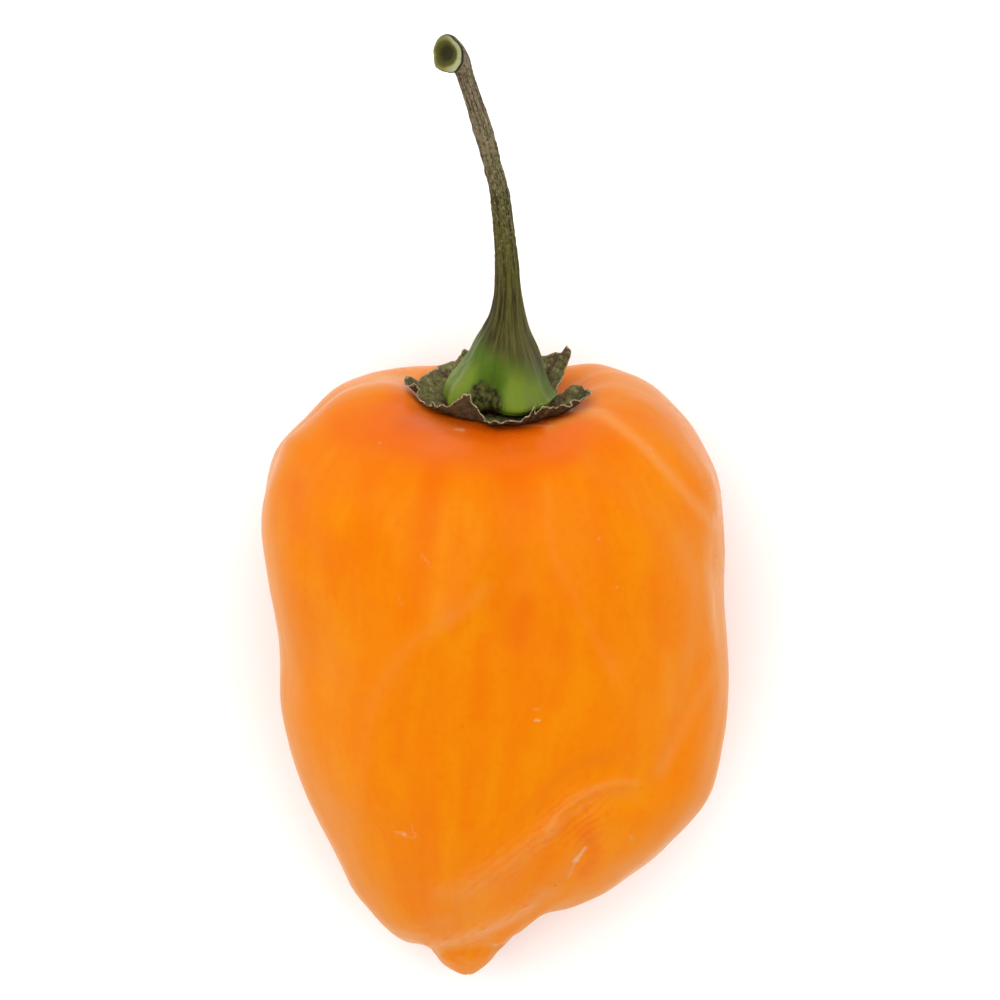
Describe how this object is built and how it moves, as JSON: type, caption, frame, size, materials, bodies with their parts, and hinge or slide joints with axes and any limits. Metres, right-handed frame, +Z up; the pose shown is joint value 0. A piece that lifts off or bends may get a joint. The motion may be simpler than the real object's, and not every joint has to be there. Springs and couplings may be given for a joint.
{
  "type": "chilli pepper",
  "caption": "Lantern-shaped fresh chilli pepper lying on its side, with a blunt tip, a dry collar of sepals and a curved cut stem.",
  "frame": {"origin": "centre of the bounding box's footprint, on the surface the pepper lies on", "axes": "+Z up off the surface, +Y from the blossom tip towards the stem, +X across the pod to its right as the stem points away"},
  "size_m": [0.0346, 0.0694, 0.0297],
  "materials": {
    "pod_skin": "thin smooth waxy skin, glossy, orange with faint lengthwise streaks",
    "dry_sepal": "dry crinkled leaf, matt, olive brown with pale edges",
    "stem_green": "fibrous stalk, satin, bright green at the foot and brown grey at the cut end"
  },
  "bodies": {
    "root": {"pod": "pod_skin", "calyx": "dry_sepal", "stem": "stem_green"}
  },
  "joints": []
}
